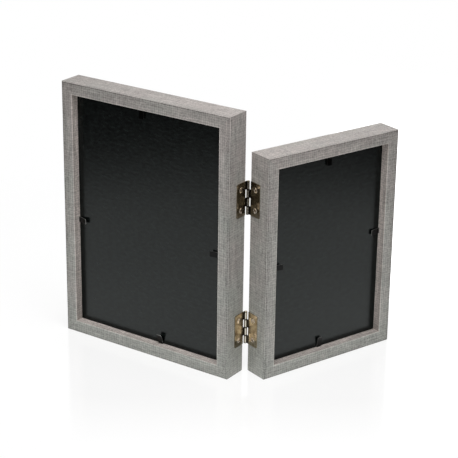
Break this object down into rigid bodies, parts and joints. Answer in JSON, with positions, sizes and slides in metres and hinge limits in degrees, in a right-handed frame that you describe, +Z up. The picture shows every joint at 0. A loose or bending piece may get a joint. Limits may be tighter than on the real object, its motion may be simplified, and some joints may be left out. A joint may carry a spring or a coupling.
{
  "type": "double photo frame",
  "caption": "Two box-profile photo frames of different size hinged side to side, standing in a V, with bendable points behind holding blank panels.",
  "frame": {"origin": "centre of the large frame's bottom face, on the surface that both frames stand on", "axes": "+X along the large frame, away from the hinges; +Y from the large frame's picture side to its back; +Z up"},
  "size_m": [0.2115, 0.1355, 0.2],
  "materials": {
    "wrapped_moulding": "wood fibre moulding wrapped in grey linen-textured foil, satin",
    "black_board": "thin black-coated hardboard, satin",
    "blank_card": "plain uncoated card, blank",
    "clear_glass": "clear float glass",
    "black_steel": "blackened spring steel strip",
    "nail_steel": "bare driven steel",
    "aged_brass": "antique brass, darkened and rubbed"
  },
  "bodies": {
    "large_frame": {"large_top_rail": "wrapped_moulding", "large_bottom_rail": "wrapped_moulding", "large_hinge_rail": "wrapped_moulding", "large_outer_rail": "wrapped_moulding", "large_glass": "clear_glass", "large_insert_card": "blank_card", "large_backboard": "black_board", "large_corner_nails": "nail_steel", "large_point_blades": "black_steel", "upper_large_leaf": "aged_brass", "upper_hinge_pin": "aged_brass", "upper_large_screws": "aged_brass", "lower_large_leaf": "aged_brass", "lower_hinge_pin": "aged_brass", "lower_large_screws": "aged_brass"},
    "small_frame": {"small_top_rail": "wrapped_moulding", "small_bottom_rail": "wrapped_moulding", "small_hinge_rail": "wrapped_moulding", "small_outer_rail": "wrapped_moulding", "small_glass": "clear_glass", "small_insert_card": "blank_card", "small_backboard": "black_board", "small_corner_nails": "nail_steel", "small_point_blades": "black_steel", "upper_small_leaf": "aged_brass", "upper_small_screws": "aged_brass", "lower_small_leaf": "aged_brass", "lower_small_screws": "aged_brass"},
    "large_top_point": {"large_top_point": "black_steel"},
    "large_bottom_point": {"large_bottom_point": "black_steel"},
    "large_hinge_point": {"large_hinge_point": "black_steel"},
    "large_outer_point": {"large_outer_point": "black_steel"},
    "small_top_point": {"small_top_point": "black_steel"},
    "small_bottom_point": {"small_bottom_point": "black_steel"},
    "small_hinge_point": {"small_hinge_point": "black_steel"},
    "small_outer_point": {"small_outer_point": "black_steel"}
  },
  "joints": [
    {"name": "fold", "type": "hinge", "parent": "large_frame", "child": "small_frame", "pos_m": [-0.0762, -0.0117, 0.085], "axis": [0, 0, 1], "range_deg": [-70.75, 109.25]},
    {"name": "large_top_point_bend", "type": "hinge", "parent": "large_frame", "child": "large_top_point", "pos_m": [0.00555, 0.0042, 0.1904], "axis": [1, 0, 0], "range_deg": [-7, 83]},
    {"name": "large_bottom_point_bend", "type": "hinge", "parent": "large_frame", "child": "large_bottom_point", "pos_m": [-0.01095, 0.0042, 0.0096], "axis": [-1, 0, 0], "range_deg": [-21, 69]},
    {"name": "large_hinge_point_bend", "type": "hinge", "parent": "large_frame", "child": "large_hinge_point", "pos_m": [-0.0654, 0.0042, 0.0934], "axis": [0, 0, 1], "range_deg": [-10, 80]},
    {"name": "large_outer_point_bend", "type": "hinge", "parent": "large_frame", "child": "large_outer_point", "pos_m": [0.0654, 0.0042, 0.0916], "axis": [0, 0, -1], "range_deg": [-16, 74]},
    {"name": "small_top_point_bend", "type": "hinge", "parent": "small_frame", "child": "small_top_point", "pos_m": [-0.11111, -0.06344, 0.1604], "axis": [0.3297, 0.9441, 0], "range_deg": [-6, 84]},
    {"name": "small_bottom_point_bend", "type": "hinge", "parent": "small_frame", "child": "small_bottom_point", "pos_m": [-0.11008, -0.0605, 0.0096], "axis": [-0.3297, -0.9441, 0], "range_deg": [-10, 80]},
    {"name": "small_hinge_point_bend", "type": "hinge", "parent": "small_frame", "child": "small_hinge_point", "pos_m": [-0.09477, -0.01665, 0.08364], "axis": [0, 0, -1], "range_deg": [-13, 77]},
    {"name": "small_outer_point_bend", "type": "hinge", "parent": "small_frame", "child": "small_outer_point", "pos_m": [-0.128, -0.11182, 0.09078], "axis": [0, 0, 1], "range_deg": [-8, 82]}
  ]
}
